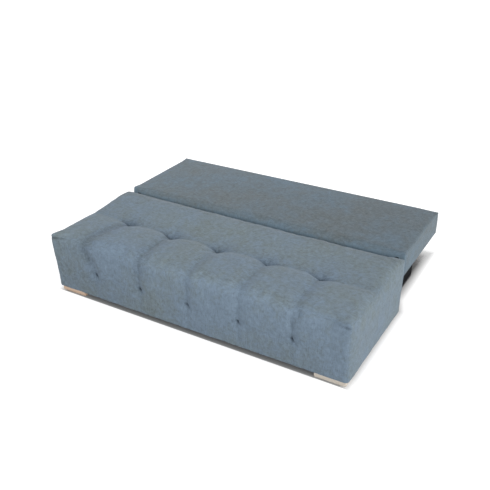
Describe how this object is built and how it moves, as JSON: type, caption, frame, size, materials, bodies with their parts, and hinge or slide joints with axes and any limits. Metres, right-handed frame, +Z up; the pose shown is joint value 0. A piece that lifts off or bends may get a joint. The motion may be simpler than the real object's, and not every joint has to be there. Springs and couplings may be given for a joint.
{
  "type": "click-clack sofa bed",
  "caption": "Sofa bed laid flat: a tufted seat block that rolls off a bedding box, with a plain back slab on ratchet hinges that folds up for sitting.",
  "frame": {"origin": "middle of the sofa's footprint, on the floor, with the sofa laid flat as in the picture", "axes": "+X along the sofa, to the right seen from the seat's front; +Y from the seat's front to the back slab; +Z up"},
  "size_m": [1.91, 1.4014, 0.4057],
  "materials": {
    "upholstery_fabric": "matte",
    "light_beech": "satin",
    "frame_timber": "matte",
    "black_board": "matte",
    "hardboard": "matte",
    "black_plastic": "matte",
    "white_nylon": "satin",
    "dark_steel": "satin",
    "zinc_steel": "satin"
  },
  "bodies": {
    "base": {"box_board_front": "black_board", "box_board_rear": "black_board", "box_board_left": "black_board", "box_board_right": "black_board", "box_floor": "hardboard", "box_batten_middle": "frame_timber", "box_batten_left": "frame_timber", "box_batten_right": "frame_timber", "box_runner_left": "black_plastic", "box_runner_right": "black_plastic", "guide_stud_left": "zinc_steel", "guide_stud_right": "zinc_steel"},
    "seat": {"seat_panel_front": "frame_timber", "seat_panel_left": "frame_timber", "seat_panel_right": "frame_timber", "deck_rail_front": "frame_timber", "deck_rail_rear": "frame_timber", "deck_rail_left": "frame_timber", "deck_rail_right": "frame_timber", "deck_stretcher": "frame_timber", "deck_spring_1": "zinc_steel", "deck_spring_2": "zinc_steel", "deck_spring_3": "zinc_steel", "deck_spring_4": "zinc_steel", "deck_spring_5": "zinc_steel", "deck_spring_6": "zinc_steel", "seat_mattress": "upholstery_fabric", "seat_front_pad": "upholstery_fabric", "seat_side_pad_left": "upholstery_fabric", "seat_side_pad_right": "upholstery_fabric", "foot_left": "light_beech", "foot_right": "light_beech", "guide_rail_left": "zinc_steel", "guide_rail_right": "zinc_steel", "castor_fork_left": "zinc_steel", "castor_fork_right": "zinc_steel", "hinge_seat_plate_left": "dark_steel", "hinge_seat_plate_right": "dark_steel", "hinge_pin_left": "zinc_steel", "hinge_pin_right": "zinc_steel"},
    "backrest": {"back_rail_front": "frame_timber", "back_rail_rear": "frame_timber", "back_rail_left": "frame_timber", "back_rail_right": "frame_timber", "back_stretcher": "frame_timber", "back_panel": "hardboard", "back_cushion": "upholstery_fabric", "back_glide_left": "black_plastic", "back_glide_right": "black_plastic", "hinge_back_plate_left": "dark_steel", "hinge_back_plate_right": "dark_steel", "hinge_spring_left": "zinc_steel", "hinge_spring_right": "zinc_steel"},
    "pawl_left": {"hinge_pawl_left": "zinc_steel"},
    "pawl_right": {"hinge_pawl_right": "zinc_steel"},
    "castor_left": {"castor_wheel_left": "black_plastic"},
    "castor_right": {"castor_wheel_right": "black_plastic"},
    "roller_left": {"guide_roller_left": "white_nylon"},
    "roller_right": {"guide_roller_right": "white_nylon"}
  },
  "joints": [
    {"name": "seat_slide", "type": "slide", "parent": "base", "child": "seat", "axis": [0, 1, 0], "range_m": [0, 0.33]},
    {"name": "backrest_hinge", "type": "hinge", "parent": "seat", "child": "backrest", "pos_m": [0, 0.11871, 0.355], "axis": [1, 0, 0], "range_deg": [0, 82]},
    {"name": "pawl_left_click", "type": "hinge", "parent": "backrest", "child": "pawl_left", "pos_m": [-0.9023, 0.1462, 0.32375], "axis": [1, 0, 0], "range_deg": [0, 11], "stiffness_Nm_per_rad": 0.4},
    {"name": "pawl_right_click", "type": "hinge", "parent": "backrest", "child": "pawl_right", "pos_m": [0.9023, 0.1462, 0.32375], "axis": [1, 0, 0], "range_deg": [0, 11], "stiffness_Nm_per_rad": 0.4},
    {"name": "castor_left_roll", "type": "hinge", "parent": "seat", "child": "castor_left", "pos_m": [-0.891, 0.00571, 0.02], "axis": [1, 0, 0], "range_deg": [-950, 0]},
    {"name": "castor_right_roll", "type": "hinge", "parent": "seat", "child": "castor_right", "pos_m": [0.891, 0.00571, 0.02], "axis": [1, 0, 0], "range_deg": [-950, 0]},
    {"name": "guide_roller_left_turn", "type": "hinge", "parent": "base", "child": "roller_left", "pos_m": [-0.8744, -0.21429, 0.15], "axis": [1, 0, 0], "range_deg": [-1580, 0]},
    {"name": "guide_roller_right_turn", "type": "hinge", "parent": "base", "child": "roller_right", "pos_m": [0.8744, -0.21429, 0.15], "axis": [1, 0, 0], "range_deg": [-1580, 0]}
  ],
  "couplings": [
    {"joint": "pawl_right_click", "follows": "pawl_left_click", "ratio": 1},
    {"joint": "castor_left_roll", "follows": "seat_slide", "rad_per_m": -50},
    {"joint": "castor_right_roll", "follows": "seat_slide", "rad_per_m": -50},
    {"joint": "guide_roller_left_turn", "follows": "seat_slide", "rad_per_m": -83.333},
    {"joint": "guide_roller_right_turn", "follows": "seat_slide", "rad_per_m": -83.333}
  ]
}
